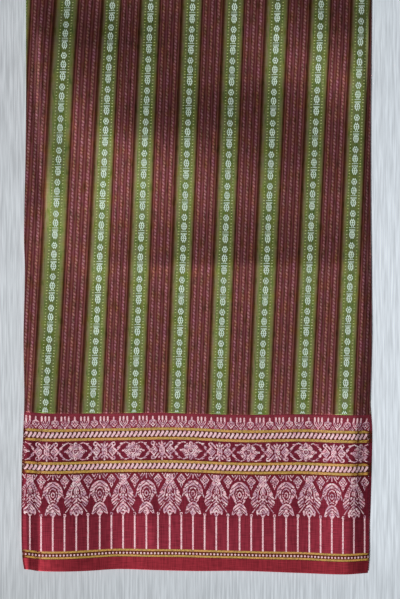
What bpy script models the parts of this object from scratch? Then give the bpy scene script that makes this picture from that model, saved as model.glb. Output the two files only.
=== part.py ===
"""A sinh, the tube skirt of Laos and northern Thailand, folded once lengthwise and laid flat.

The skirt is a tube of three strips sewn one above another: a striped body, a brocaded foot border
and a plain waistband. Folded, it lies four cloths deep. The upper cloth of each strip is a wall of
its own. It wraps the round fold on the left, down to the ground, and turns under at the right.
The three cloths below it are one rounded solid, grooved between its layers along the edges.

Metres, +Z up. X runs across the skirt, Y from the foot hem (-0.5) to the waist (+0.5), and the
skirt rests on z = 0. The tables are in millimetres, with "up" measured from the lowest hem point.
"""

from collections import namedtuple
from math import cos, pi, radians, sin

import bmesh
import bpy

MM = 0.001

# The strips' heights along the folded skirt, and the slit left at each seam.
SKIRT_LENGTH = 1000.0
BORDER_HEIGHT = 200.0
WAISTBAND_HEIGHT = 90.0
SEAM_SLIT = 0.3

# Cloth and the air between two cloths.
CLOTH = 1.0
LAYER_GAP = 0.3
AIR_UNDER_TOP = 1.6
# The least air left in a hollow, and how softly the cloth levels out there.
LEAST_AIR = 0.3
AIR_SOFTNESS = 1.2

# Half the width of the left fold, the turned right edge and the fold below it.
LEFT_ROLL = 4.5
RIGHT_TURN = 2.2
UNDER_TURN = 2.2
# The stretch over which the folded cloth rises from its left edge to its full height.
LEFT_RISE = 22.0
# How deep the grooves between the layers run in at the hem and the waist.
GROOVE_DEPTH = 3.0

# Cells of the lofted cloth.
COLUMNS = 32
ARC_STEPS = 5
BORDER_ROWS = 10
BODY_ROWS = 34
WAISTBAND_ROWS = 4

# The outline, row by row: both edges of the upper cloth, the lower fold that peeks out beyond it
# on the right, and the stretch over which the cloth falls to its right edge.
EdgeRow = namedtuple("EdgeRow", "place up left right under fall")
EDGE_ROWS = [
    EdgeRow("hem corner", 0, -219.6, 218.4, 216.5, 10.0),
    EdgeRow("hem line", 24, -223.2, 220.0, 218.5, 12.0),
    EdgeRow("spears", 80, -224.1, 219.8, 221.8, 14.0),
    EdgeRow("medallions", 145, -223.4, 219.8, 223.6, 14.0),
    EdgeRow("border top", 184, -221.6, 220.2, 224.1, 14.0),
    EdgeRow("above the seam", 225, -220.4, 221.4, 221.6, 8.0),
    EdgeRow("first bulge", 298, -221.4, 223.2, 221.8, 6.0),
    EdgeRow("waist of the edge", 388, -219.7, 222.8, 221.2, 6.0),
    EdgeRow("second bulge", 430, -220.8, 222.2, 220.6, 6.0),
    EdgeRow("straight", 566, -218.4, 221.8, 220.2, 6.0),
    EdgeRow("upper body", 732, -218.3, 222.9, 221.0, 6.0),
    EdgeRow("waistband", 910, -218.8, 222.4, 220.6, 6.0),
    EdgeRow("waist", 1000, -219.2, 222.0, 220.4, 6.0),
]

# How the hem and the seam above the border wander, as heights at places across the skirt, and the
# hem of the cloths below, which peeks out near the left corner.
WaveRow = namedtuple("WaveRow", "across hem seam under_hem")
WAVE_ROWS = [
    WaveRow(0.00, 6.0, 206.9, 6.8),
    WaveRow(0.08, 4.6, 205.5, 3.0),
    WaveRow(0.17, 4.8, 205.4, 4.4),
    WaveRow(0.27, 6.8, 205.6, 7.4),
    WaveRow(0.38, 5.4, 206.3, 6.2),
    WaveRow(0.50, 4.2, 205.0, 5.0),
    WaveRow(0.63, 4.4, 203.6, 5.2),
    WaveRow(0.80, 1.8, 204.4, 2.6),
    WaveRow(0.93, 0.0, 203.5, 0.9),
    WaveRow(1.00, 1.4, 203.2, 2.2),
]

# The soft folds of the upper cloth: a ridge (or, below zero, a hollow) about a centre, heading
# counted from +X, fading out over half its length and, unevenly, over its width below and above.
# A creased one comes to a line along its middle, the others are round.
FoldRow = namedtuple("FoldRow", "place x up heading half_length below above height creased")
FOLD_ROWS = [
    FoldRow("border, left ripple", -200, 50, 104, 300, 111, 79, 9.5, False),
    FoldRow("border, middle ripple", -65, 69, 94, 154, 21, 21, 0.3, False),
    FoldRow("border, fine crease", -56, 61, 95, 52, 24, 24, 0.6, False),
    FoldRow("border, right ridge", 206, 143, 87, 221, 24, 28, 2.9, False),
    FoldRow("body, long slanting ridge", -142, 580, -27, 300, 190, 165, 9.5, False),
    FoldRow("body, upper right ridge", 180, 686, -24, 206, 103, 68, 8.5, False),
    FoldRow("body, left edge dent", -196, 545, -89, 115, 24, 40, 5.9, False),
    FoldRow("body, upper left ridge", -175, 666, -4, 262, 143, 71, 9.5, False),
    FoldRow("body, middle ridge", 4, 559, 5, 188, 121, 65, 7.8, False),
    FoldRow("body, right ridge", 116, 521, -14, 220, 82, 68, 1.5, False),
    FoldRow("body, left cross crease", -188, 358, 16, 95, 156, 99, -4.2, True),
    FoldRow("body, right cross crease", 84, 397, 0, 285, 156, 126, 5.1, True),
]


def remove_all_objects():
    for old in list(bpy.data.objects):
        bpy.data.objects.remove(old, do_unlink=True)


def along_table(rows, place, value, at):
    """Reads a column of a table at a place between its rows, on a smooth curve through them."""
    places = [getattr(row, place) for row in rows]
    values = [getattr(row, value) for row in rows]
    if at <= places[0]:
        return values[0]
    if at >= places[-1]:
        return values[-1]
    after = next(i for i, known in enumerate(places) if known > at)
    before = after - 1
    span = places[after] - places[before]

    def slope(i):
        low, high = max(i - 1, 0), min(i + 1, len(places) - 1)
        return (values[high] - values[low]) / (places[high] - places[low])

    t = (at - places[before]) / span
    return (
        (2 * t**3 - 3 * t**2 + 1) * values[before]
        + (t**3 - 2 * t**2 + t) * span * slope(before)
        + (3 * t**2 - 2 * t**3) * values[after]
        + (t**3 - t**2) * span * slope(after)
    )


def edge(value, up):
    return along_table(EDGE_ROWS, "up", value, up)


def wander(value, across):
    return along_table(WAVE_ROWS, "across", value, across)


def ease(t):
    t = min(max(t, 0.0), 1.0)
    return t * t * (3 - 2 * t)


def height_up(across, cloth_up, hem_line="hem"):
    """Where a place on the cloth lies along the skirt: the border is pulled to its wandering hem
    and seam, and the body smooths the wave out towards the waist."""
    hem, seam = wander(hem_line, across), wander("seam", across)
    if cloth_up <= BORDER_HEIGHT:
        return hem + (seam - hem) * cloth_up / BORDER_HEIGHT
    above = (cloth_up - BORDER_HEIGHT) / (SKIRT_LENGTH - BORDER_HEIGHT)
    return seam + (SKIRT_LENGTH - seam) * above


def fold_height(x, up):
    """The ridges and hollows of the upper cloth at one place."""
    total = 0.0
    for fold in FOLD_ROWS:
        turn = radians(fold.heading)
        dx, dy = x - fold.x, up - fold.up
        along = (dx * cos(turn) + dy * sin(turn)) / fold.half_length
        aside = dy * cos(turn) - dx * sin(turn)
        aside = abs(aside) / (fold.below if aside < 0 else fold.above)
        if abs(along) < 1 and aside < 1:
            section = (1 - aside) ** 2 if fold.creased else cos(aside * pi / 2) ** 2
            total += fold.height * cos(along * pi / 2) ** 2 * section
    return total


STACK = 4 * CLOTH + 3 * LAYER_GAP
# The fold under the turned right edge holds the two lowest cloths.
UNDER_FOLD = 2 * CLOTH + LAYER_GAP
TURN_BOTTOM = UNDER_FOLD + LAYER_GAP


def top_height(x, up):
    """The upper face of the upper cloth: the stack of four, lifted by air and folds off its edges."""
    off_left = ease((x - edge("left", up) - LEFT_ROLL) / LEFT_RISE)
    off_right = ease((edge("right", up) - RIGHT_TURN - x) / edge("fall", up))
    air = AIR_UNDER_TOP + fold_height(x, up)
    air = LEAST_AIR + (air + (air**2 + AIR_SOFTNESS**2) ** 0.5) / 2
    return STACK + air * off_left * off_right


def flat_span(up):
    """The two places where the rolled edges give way to the upper face."""
    return edge("left", up) + LEFT_ROLL, edge("right", up) - RIGHT_TURN


def wall_section(cloth_up):
    """One section through the upper cloth, as pairs of points on its outer and inner face, from
    the ground under the left fold over the top to the bottom of the turned right edge."""
    pairs = []
    for i in range(ARC_STEPS + 1):
        angle = pi * i / ARC_STEPS - pi / 2
        up = height_up(0.0, cloth_up)
        centre = edge("left", up) + LEFT_ROLL, up, STACK / 2
        pairs.append(roll_pair(centre, -LEFT_ROLL, STACK / 2, angle))
    for i in range(1, COLUMNS):
        across = i / COLUMNS
        up = height_up(across, cloth_up)
        start, end = flat_span(up)
        x = start + (end - start) * across
        z = top_height(x, up)
        pairs.append(((x, up, z), (x, up, z - CLOTH)))
    for i in range(ARC_STEPS + 1):
        angle = pi / 2 - pi * i / ARC_STEPS
        up = height_up(1.0, cloth_up)
        centre = edge("right", up) - RIGHT_TURN, up, (STACK + TURN_BOTTOM) / 2
        pairs.append(roll_pair(centre, RIGHT_TURN, (STACK - TURN_BOTTOM) / 2, angle))
    return pairs


def roll_pair(centre, wide, tall, angle):
    """The outer and inner point of a rolled edge at one angle. Below zero, wide rolls to the left."""
    x, up, z = centre
    inner_wide = wide - CLOTH if wide > 0 else wide + CLOTH
    return (
        (x + wide * cos(angle), up, z + tall * sin(angle)),
        (x + inner_wide * cos(angle), up, z + (tall - CLOTH) * sin(angle)),
    )


def in_metres(x, up, z):
    """From the tables' millimetres to the skirt's place in the scene."""
    return x * MM, (up - SKIRT_LENGTH / 2) * MM, z * MM


def lofted_wall(name, material, first_up, last_up, rows):
    """A strip's upper cloth: a grid laid on its outer face, then extruded through to its inner."""
    sections = [
        wall_section(first_up + (last_up - first_up) * row / rows) for row in range(rows + 1)
    ]
    steps = len(sections[0]) - 1
    mesh = bmesh.new()
    bmesh.ops.create_grid(mesh, x_segments=steps, y_segments=rows, size=1.0)
    places = mesh.verts.layers.float_vector.new("place")
    for vert in mesh.verts:
        vert[places] = (
            round((vert.co.x + 1) / 2 * steps),
            round((vert.co.y + 1) / 2 * rows),
            0.0,
        )
    outer = list(mesh.verts)
    through = bmesh.ops.extrude_face_region(mesh, geom=list(mesh.faces), use_keep_orig=True)
    inner = [item for item in through["geom"] if isinstance(item, bmesh.types.BMVert)]
    for face, verts in enumerate((outer, inner)):
        for vert in verts:
            place, row, _ = vert[places]
            vert.co = in_metres(*sections[round(row)][round(place)][face])
    face_out(mesh)
    return finished(name, mesh, material)


def rim_places(side_place, depth_in, level):
    """Where the hidden layers' rim lies at one of its levels, for one place on the outline.

    side_place is (side, across, cloth_up). The levels go down from the top face to the ground.
    The left side follows the inside of the rolled upper cloth, the right side has the step under
    the turned edge and then the lowest fold, and the ends have a groove at each gap."""
    side, across, cloth_up = side_place
    up = height_up(across, cloth_up, "under_hem")
    left, right, under = edge("left", up), edge("right", up), edge("under", up)
    x_left, z_left = LEFT_LEVELS[level]
    x_right, z_right = right_level(level, right, under)
    z_end, end_depth = END_LEVELS[level]
    if side == "left":
        return left + x_left, up, z_left
    if side == "right":
        return x_right, up, z_right
    start, end = left + x_left, x_right
    return start + (end - start) * across, up + depth_in * end_depth, z_end


def hidden_top(x, up):
    return top_height(x, up) - CLOTH - LAYER_GAP


# The levels of the rim, from just under the top face down to the ground.
LEFT_WIDE = LEFT_ROLL - CLOTH - LAYER_GAP
LEFT_TALL = STACK / 2 - CLOTH - LAYER_GAP
LEFT_LEVELS = [
    (LEFT_ROLL - LEFT_WIDE * cos(pi / 2 - pi * i / ARC_STEPS),
     STACK / 2 + LEFT_TALL * sin(pi / 2 - pi * i / ARC_STEPS))
    for i in range(ARC_STEPS + 1)
] + [
    (LEFT_ROLL + LAYER_GAP, CLOTH + LAYER_GAP),
    (LEFT_ROLL + LAYER_GAP, CLOTH / 2),
    (LEFT_ROLL + LAYER_GAP, 0.0),
]
LAYER = CLOTH + LAYER_GAP
END_LEVELS = [
    (3 * CLOTH + 2 * LAYER_GAP, 0.0),
    (2 * LAYER + 0.10, 0.0),
    (2 * LAYER, GROOVE_DEPTH),
    (2 * LAYER - LAYER_GAP, GROOVE_DEPTH),
    (2 * LAYER - LAYER_GAP - 0.10, 0.0),
    (LAYER + 0.10, 0.0),
    (LAYER, GROOVE_DEPTH),
    (LAYER - LAYER_GAP, GROOVE_DEPTH),
    (0.0, 0.0),
]


def right_level(level, right, under):
    """The right side's rim: up against the turned edge, then round the lowest fold."""
    step_in = right - RIGHT_TURN - LAYER_GAP
    fold_x, fold_z = under - UNDER_TURN, UNDER_FOLD / 2
    if level < 3:
        return step_in, 3 * CLOTH + 2 * LAYER_GAP - level * (CLOTH / 2)
    angle = pi / 2 - pi * (level - 3) / ARC_STEPS
    return fold_x + UNDER_TURN * cos(angle), fold_z + fold_z * sin(angle)


def hidden_layers(material):
    """The three lower cloths as one solid: a grid for its top face, whose rim is drawn down
    level by level, and a flat underside."""
    rows = BORDER_ROWS + BODY_ROWS + WAISTBAND_ROWS
    mesh = bmesh.new()
    bmesh.ops.create_grid(mesh, x_segments=COLUMNS, y_segments=rows, size=1.0)
    places = mesh.verts.layers.float_vector.new("place")
    for vert in mesh.verts:
        across, row = (vert.co.x + 1) / 2, round((vert.co.y + 1) / 2 * rows)
        cloth_up = row_height(row)
        vert[places] = (across, cloth_up, 0.0)
        up = height_up(across, cloth_up, "under_hem")
        start, end = flat_span(up)
        end -= LAYER_GAP
        x = start + (end - start) * across
        vert.co = in_metres(x, up, hidden_top(x, up))
    levels = len(END_LEVELS)
    for level in range(levels):
        rim = [edge_ for edge_ in mesh.edges if edge_.is_boundary]
        drawn = bmesh.ops.extrude_edge_only(mesh, edges=rim)["geom"] if level else None
        moved = (
            [item for item in drawn if isinstance(item, bmesh.types.BMVert)]
            if level
            else list({vert for edge_ in rim for vert in edge_.verts})
        )
        for vert in moved:
            across, cloth_up, _ = vert[places]
            vert.co = in_metres(*rim_places(*side_of(across, cloth_up), level))
    underside = [edge_ for edge_ in mesh.edges if edge_.is_boundary]
    bmesh.ops.holes_fill(mesh, edges=underside, sides=0)
    face_out(mesh)
    return finished("hidden_layers", mesh, material)


def side_of(across, cloth_up):
    """Which side of the outline a rim point is on, and which way is inwards along the skirt."""
    if cloth_up < 0.5:
        return ("end", across, cloth_up), 1.0
    if cloth_up > SKIRT_LENGTH - 0.5:
        return ("end", across, cloth_up), -1.0
    if across < 0.5:
        return ("left", across, cloth_up), 0.0
    return ("right", across, cloth_up), 0.0


def row_height(row):
    """The cloth height of one of the rows that all strips share."""
    body_top = SKIRT_LENGTH - WAISTBAND_HEIGHT
    if row <= BORDER_ROWS:
        return BORDER_HEIGHT * row / BORDER_ROWS
    row -= BORDER_ROWS
    if row <= BODY_ROWS:
        return BORDER_HEIGHT + (body_top - BORDER_HEIGHT) * row / BODY_ROWS
    return body_top + WAISTBAND_HEIGHT * (row - BODY_ROWS) / WAISTBAND_ROWS


def face_out(mesh):
    bmesh.ops.recalc_face_normals(mesh, faces=mesh.faces)


def finished(name, mesh, material):
    data = bpy.data.meshes.new(name)
    mesh.to_mesh(data)
    mesh.free()
    data.materials.append(material)
    data.shade_smooth()
    data.set_sharp_from_angle(angle=radians(40))
    made = bpy.data.objects.new(name, data)
    bpy.context.scene.collection.objects.link(made)
    return made


def cloth_material(name, colour, roughness):
    made = bpy.data.materials.new(name)
    made.use_nodes = True
    shader = made.node_tree.nodes["Principled BSDF"]
    shader.inputs["Base Color"].default_value = (*colour, 1.0)
    shader.inputs["Roughness"].default_value = roughness
    shader.inputs["Metallic"].default_value = 0.0
    return made


def build():
    remove_all_objects()
    body_top = SKIRT_LENGTH - WAISTBAND_HEIGHT
    striped_silk = cloth_material("striped_silk", (0.075, 0.030, 0.022), 0.62)
    brocade = cloth_material("brocaded_border", (0.270, 0.028, 0.050), 0.55)
    band_cotton = cloth_material("waistband_cotton", (0.120, 0.020, 0.026), 0.80)
    under_cloth = cloth_material("hidden_cloth", (0.100, 0.020, 0.030), 0.70)
    lofted_wall("border", brocade, 0.0, BORDER_HEIGHT, BORDER_ROWS)
    lofted_wall("body", striped_silk, BORDER_HEIGHT + SEAM_SLIT, body_top, BODY_ROWS)
    lofted_wall("waistband", band_cotton, body_top + SEAM_SLIT, SKIRT_LENGTH, WAISTBAND_ROWS)
    hidden_layers(under_cloth)


build()
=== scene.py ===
"""The looks of a sinh, a silk tube skirt folded once lengthwise and laid flat.

The skirt is three tubes sewn one above another: a brocaded foot border, a striped body and a plain
waistband. Each is one closed sheet that follows all four layers of the folded skirt: round the left
fold, over the top, under at the right edge, in to the middle and back out, and along the underside.
The brocade and the flowers are silk floats laid on that sheet thread by thread.

Tables and patterns are in millimetres. "up" counts from the lowest point of the hem along the
skirt, "height" along the cloth itself, and "run" along the cloth across the skirt, where the run of
a point on the flat top is its x, except where the border is gathered.
"""

from collections import namedtuple
from functools import partial
from math import cos, pi, radians, sin

import bmesh
import bpy
import numpy as np
from mathutils import Matrix, Vector


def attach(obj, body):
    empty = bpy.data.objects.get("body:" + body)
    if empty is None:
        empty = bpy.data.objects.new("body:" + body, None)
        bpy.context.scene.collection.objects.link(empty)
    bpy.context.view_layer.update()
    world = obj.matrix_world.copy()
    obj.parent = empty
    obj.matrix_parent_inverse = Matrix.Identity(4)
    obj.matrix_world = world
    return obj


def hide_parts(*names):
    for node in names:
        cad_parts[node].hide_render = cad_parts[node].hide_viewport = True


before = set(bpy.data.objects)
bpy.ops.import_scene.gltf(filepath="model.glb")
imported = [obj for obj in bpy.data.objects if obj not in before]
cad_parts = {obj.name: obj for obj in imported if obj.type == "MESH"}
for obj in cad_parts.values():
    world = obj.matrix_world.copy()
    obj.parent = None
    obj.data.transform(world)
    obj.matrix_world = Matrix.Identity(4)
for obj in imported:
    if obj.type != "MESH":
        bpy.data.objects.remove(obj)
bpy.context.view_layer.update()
MM = 0.001


def table(columns, *rows):
    """A table's rows, with the names of their columns."""
    row = namedtuple("Row", columns)
    return [row(*cells) for cells in rows]


# ---- the folded skirt's form

SKIRT_LENGTH = 1000.0
BORDER_HEIGHT = 200.0
WAISTBAND_HEIGHT = 90.0
WAIST_SEAM = SKIRT_LENGTH - WAISTBAND_HEIGHT
SEAM_SLIT = 0.06
# How high the top cloth, the lower fold and the right turn's underside lie, and the air that lifts
# the top cloth.
STACK = 4.9
UNDER_FOLD = 2.3
TURN_BOTTOM = 2.6
AIR_UNDER_TOP = 1.6
LEAST_AIR = 0.3
AIR_SOFTNESS = 1.2
# How far each rolled edge reaches across.
LEFT_ROLL = 4.5
RIGHT_TURN = 2.2
UNDER_TURN = 2.2
CLOTH_THICKNESS = 0.5
# The cloth under the skirt lies this far above the ground, which leaves room for its floats.
UNDERSIDE_LIFT = 0.15

# The outline: both edges of the upper cloth, the lower fold that peeks out on the right, and the
# stretches over which the cloth rises from its left edge and falls to its right one.
EDGE_ROWS = table(
    "place up left right under rise fall",
    ("hem corner", 0, -219.6, 218.4, 216.5, 13.0, 10.0),
    ("hem line", 24, -223.2, 220.0, 218.5, 20.0, 12.0),
    ("spears", 80, -224.1, 219.8, 221.8, 20.0, 14.0),
    ("medallions", 145, -223.4, 219.8, 223.6, 20.0, 14.0),
    ("border top", 184, -221.6, 220.2, 224.1, 20.0, 14.0),
    ("above the seam", 225, -220.4, 221.4, 221.6, 22.0, 8.0),
    ("first bulge", 298, -221.4, 223.2, 221.8, 22.0, 6.0),
    ("waist of the edge", 388, -219.7, 222.8, 221.2, 22.0, 6.0),
    ("second bulge", 430, -220.8, 222.2, 220.6, 22.0, 6.0),
    ("straight", 566, -218.4, 221.8, 220.2, 22.0, 6.0),
    ("upper body", 732, -218.3, 222.9, 221.0, 22.0, 6.0),
    ("waistband", 910, -218.8, 222.4, 220.6, 22.0, 6.0),
    ("waist", 1000, -219.2, 222.0, 220.4, 22.0, 6.0),
)

# How the hem, the seam above the border and the hem of the lower cloths wander across the skirt.
WAVE_ROWS = table(
    "across hem seam under_hem",
    (0.00, 6.0, 206.9, 6.8),
    (0.08, 4.6, 205.5, 3.0),
    (0.17, 4.8, 205.4, 4.4),
    (0.27, 6.8, 205.6, 7.4),
    (0.38, 5.4, 206.3, 6.2),
    (0.50, 4.2, 205.0, 5.0),
    (0.63, 4.4, 203.6, 5.2),
    (0.80, 1.8, 204.4, 2.6),
    (0.93, 0.0, 203.5, 0.9),
    (1.00, 1.4, 203.2, 2.2),
)

# How far the woven lines between hem and seam have sagged towards the hem.
SAG_ROWS = table(
    "across sag",
    (0.00, 2.6), (0.06, 2.3), (0.11, 2.0), (0.19, 1.4), (0.28, 1.35), (0.36, 1.05), (0.43, 0.4),
    (0.48, 0.25), (0.54, 0.9), (0.60, 1.6), (0.68, 1.95), (0.75, 1.5), (0.81, 1.15), (0.88, 1.6),
    (1.00, 1.9),
)
SAG_FADE = 18.0

# Ridges, and hollows below zero, about a centre. Each has its own reach on either side of its
# crest, where "below" is the right-hand side as one looks along its heading. A creased one comes
# to a sharp crest, where the others are round.
FOLD_ROWS = table(
    "place x up heading half_length below above height creased",
    ("border, left ripple", -196, 50, 98, 300, 102, 110, 8.6, False),
    ("border, middle ripple", -65, 69, 94, 154, 21, 21, 0.3, False),
    ("border, fine crease", -56, 61, 95, 52, 14, 8, 0.6, False),
    ("border, right ridge", 199, 143, 87, 221, 17, 58, 4.4, False),
    ("body, long slanting ridge", -142, 580, -27, 300, 190, 165, 9.5, False),
    ("body, upper right ridge", 180, 686, -24, 206, 103, 68, 8.5, False),
    ("body, left edge dent", -196, 545, -89, 115, 8, 40, 5.9, False),
    ("body, upper left ridge", -175, 666, -4, 262, 143, 71, 9.5, False),
    ("body, middle ridge", 4, 559, 5, 188, 121, 65, 7.8, False),
    ("body, right ridge", 116, 521, -14, 220, 82, 68, 1.5, False),
    ("body, lift at the right edge", 222, 440, 90, 430, 12, 60, 2.2, False),
    ("body, left cross crease", -188, 358, 16, 95, 156, 99, -4.2, True),
    ("body, right cross crease", 84, 397, 0, 285, 156, 126, 5.1, True),
)


def along_table(rows, place, value, at):
    """Reads a column of a table at places between its rows, on a smooth curve through them."""
    places = np.array([getattr(row, place) for row in rows], float)
    values = np.array([getattr(row, value) for row in rows], float)
    index = np.arange(len(rows))
    low, high = np.maximum(index - 1, 0), np.minimum(index + 1, len(rows) - 1)
    slopes = (values[high] - values[low]) / (places[high] - places[low])
    at = np.clip(at, places[0], places[-1])
    after = np.clip(np.searchsorted(places, at, side="right"), 1, len(rows) - 1)
    before = after - 1
    span = places[after] - places[before]
    t = (at - places[before]) / span
    return (
        (2 * t**3 - 3 * t**2 + 1) * values[before]
        + (t**3 - 2 * t**2 + t) * span * slopes[before]
        + (3 * t**2 - 2 * t**3) * values[after]
        + (t**3 - t**2) * span * slopes[after]
    )


def edge(value, up):
    return along_table(EDGE_ROWS, "up", value, up)


def wave(value, across):
    return along_table(WAVE_ROWS, "across", value, across)


def ease(t):
    t = np.clip(t, 0.0, 1.0)
    return t * t * (3 - 2 * t)


def up_the_skirt(across, height, under):
    """Where a height along the cloth lies along the skirt. under is 0 on the top cloth and 1 on
    the underside, whose hem is another line."""
    hem = wave("hem", across) * (1 - under) + wave("under_hem", across) * under
    seam = wave("seam", across)
    in_border = hem + (seam - hem) * height / BORDER_HEIGHT
    in_border = in_border - along_table(SAG_ROWS, "across", "sag", across) * (
        ease(height / SAG_FADE) * ease((BORDER_HEIGHT - height) / SAG_FADE)
    )
    above = (height - BORDER_HEIGHT) / (SKIRT_LENGTH - BORDER_HEIGHT)
    return np.where(height <= BORDER_HEIGHT, in_border, seam + (SKIRT_LENGTH - seam) * above)


def fold_height(x, up):
    total = np.zeros(np.broadcast(x, up).shape)
    for fold in FOLD_ROWS:
        turn = radians(fold.heading)
        dx, dy = x - fold.x, up - fold.up
        along = np.clip((dx * np.cos(turn) + dy * np.sin(turn)) / fold.half_length, -1, 1)
        aside = dy * np.cos(turn) - dx * np.sin(turn)
        aside = np.clip(abs(aside) / np.where(aside < 0, fold.below, fold.above), 0, 1)
        section = (1 - aside) ** 2 if fold.creased else np.cos(aside * pi / 2) ** 2
        total += fold.height * np.cos(along * pi / 2) ** 2 * section
    return total


def top_height(x, up):
    off_left = ease((x - edge("left", up) - LEFT_ROLL) / edge("rise", up))
    off_right = ease((edge("right", up) - RIGHT_TURN - x) / edge("fall", up))
    air = AIR_UNDER_TOP + fold_height(x, up)
    # Where a hollow would press the cloth down, it levels out softly.
    air = LEAST_AIR + (air + np.sqrt(air**2 + AIR_SOFTNESS**2)) / 2
    return STACK + air * off_left * off_right


# The stretches of one tube's section, walked from the side seam on the lower right fold along the
# underside, round the left fold, over the top and back through the two inner cloths.
STRETCHES = [
    "seam to underside", "underside", "left fold", "top", "right turn",
    "upper inner cloth", "inner fold", "lower inner cloth", "lower fold",
]
# The border's cloth is gathered a little towards its right edge, which fades out below its seam.
GATHERED = 4.0
GATHER_REACH = 88.0
GATHER_FADE = 25.0
GATHER_CURVE = 1.5
INNER_FOLD_RADIUS = 0.15
INNER_FOLD_SET_IN = 8.0
# How far each fold has gone from the upper hem's line, 0, to the lower cloths', 1.
LEFT_FOLD_UNDER = 0.5
RIGHT_EDGE_UNDER = 0.2
RIGHT_TURN_UNDER = 0.3
INNER_FOLD_UNDER = 0.6
LOWER_FOLD_UNDER = 0.9
# How much of the top cloth's rise the inner cloths share, and how fast they take it up.
UPPER_INNER_RISE = 0.55
LOWER_INNER_RISE = 0.25
INNER_EASE = 12
UNDERSIDE_EASE = 60


def quarter_length(wide, tall):
    """The length of a quarter of an ellipse, close enough for a rolled edge."""
    return pi / 2 * ((wide**2 + tall**2) / 2) ** 0.5


def gathered(height):
    return GATHERED * ease((BORDER_HEIGHT - height) / GATHER_FADE)


def stretch_ends(height):
    """The runs at which one stretch gives way to the next, each an array over the heights."""
    left_up = up_the_skirt(0.0, height, LEFT_FOLD_UNDER)
    right_up = up_the_skirt(1.0, height, RIGHT_EDGE_UNDER)
    start = edge("left", left_up) + LEFT_ROLL
    end = edge("right", right_up) - RIGHT_TURN
    fold_x = edge("under", right_up) - UNDER_TURN
    left_round = 2 * quarter_length(LEFT_ROLL, STACK / 2)
    right_round = 2 * quarter_length(RIGHT_TURN, (STACK - TURN_BOTTOM) / 2)
    under_round = quarter_length(UNDER_TURN, UNDER_FOLD / 2)
    inner_round = pi * INNER_FOLD_RADIUS
    inner_x = start + INNER_FOLD_SET_IN
    seam = start - left_round - (fold_x - start) - under_round
    ends = [seam, seam + under_round, start - left_round, start, end + gathered(height)]
    for length in (right_round, end - inner_x, inner_round, fold_x - inner_x, under_round):
        ends.append(ends[-1] + length)
    return np.array(np.broadcast_arrays(*ends)), start, end, fold_x, inner_x


def stretch_span(ends, stretch):
    """The runs at which each point's stretch begins and finishes."""
    which = stretch.astype(int)[None]
    return np.take_along_axis(ends, which, axis=0)[0], np.take_along_axis(ends, which + 1, axis=0)[0]


def x_in_stretch(stretch, part, run, height, start, end, fold_x, inner_x):
    turn = pi * (part - 0.5)
    half_turn = pi / 2 * part
    spare = gathered(height)
    into_gather = np.clip((run - end + GATHER_REACH) / (GATHER_REACH + spare), 0.0, 1.0)
    return np.choose(stretch, [
        fold_x + UNDER_TURN * np.cos(half_turn),
        fold_x + (start - fold_x) * part,
        start - LEFT_ROLL * np.cos(turn),
        run - spare * into_gather**GATHER_CURVE,
        end + RIGHT_TURN * np.cos(turn),
        end + (inner_x - end) * part,
        inner_x - INNER_FOLD_RADIUS * np.cos(turn),
        inner_x + (fold_x - inner_x) * part,
        fold_x + UNDER_TURN * np.sin(half_turn),
    ])


def under_in_stretch(stretch, part):
    """How far a place has gone from the upper hem's line to the lower cloths'."""
    return np.choose(stretch, [
        LOWER_FOLD_UNDER + (1 - LOWER_FOLD_UNDER) * part,
        1,
        1 - part,
        0,
        RIGHT_TURN_UNDER * part,
        RIGHT_TURN_UNDER,
        RIGHT_TURN_UNDER + (INNER_FOLD_UNDER - RIGHT_TURN_UNDER) * part,
        INNER_FOLD_UNDER,
        INNER_FOLD_UNDER + (LOWER_FOLD_UNDER - INNER_FOLD_UNDER) * part,
    ])


def z_in_stretch(stretch, part, rise):
    turn = pi * (part - 0.5)
    half_turn = pi / 2 * part
    shared = rise * ease(part * INNER_EASE) * ease((1 - part) * INNER_EASE)
    turn_middle, turn_half = (STACK + TURN_BOTTOM) / 2, (STACK - TURN_BOTTOM) / 2
    fold_middle = UNDER_FOLD / 2
    return np.choose(stretch, [
        fold_middle - fold_middle * np.sin(half_turn),
        UNDERSIDE_LIFT * ease(part * UNDERSIDE_EASE) * ease((1 - part) * UNDERSIDE_EASE),
        STACK / 2 + STACK / 2 * np.sin(turn),
        STACK + rise,
        turn_middle - turn_half * np.sin(turn),
        TURN_BOTTOM + UPPER_INNER_RISE * shared,
        (TURN_BOTTOM + UNDER_FOLD) / 2 - INNER_FOLD_RADIUS * np.sin(turn),
        UNDER_FOLD + LOWER_INNER_RISE * shared,
        fold_middle + fold_middle * np.cos(half_turn),
    ])


def place_on_cloth(run, height):
    """World points, in millimetres, for runs and heights on the tubes' right side."""
    run, height = np.broadcast_arrays(np.asarray(run, float), np.asarray(height, float))
    ends, start, end, fold_x, inner_x = stretch_ends(height)
    stretch = np.clip((run[None] >= ends).sum(axis=0) - 1, 0, len(STRETCHES) - 1)
    begin, finish = stretch_span(ends, stretch)
    part = (run - begin) / (finish - begin)
    x = x_in_stretch(stretch, part, run, height, start, end, fold_x, inner_x)
    across = np.clip((x - start) / (end - start), 0.0, 1.0)
    up = up_the_skirt(across, height, under_in_stretch(stretch, part))
    rise = np.where((x > start) & (x < end), top_height(x, up) - STACK, 0.0)
    return np.stack([x, up - SKIRT_LENGTH / 2, z_in_stretch(stretch, part, rise)], axis=-1)


def outward(run, height):
    """The cloth's outward normals there, from two small steps along it."""
    step = 0.2
    across = place_on_cloth(run + step, height) - place_on_cloth(run - step, height)
    along = place_on_cloth(run, height + step) - place_on_cloth(run, height - step)
    normal = np.cross(across, along)
    return normal / np.maximum(np.linalg.norm(normal, axis=-1, keepdims=True), 1e-9)


# ---- the three tubes of cloth

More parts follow.
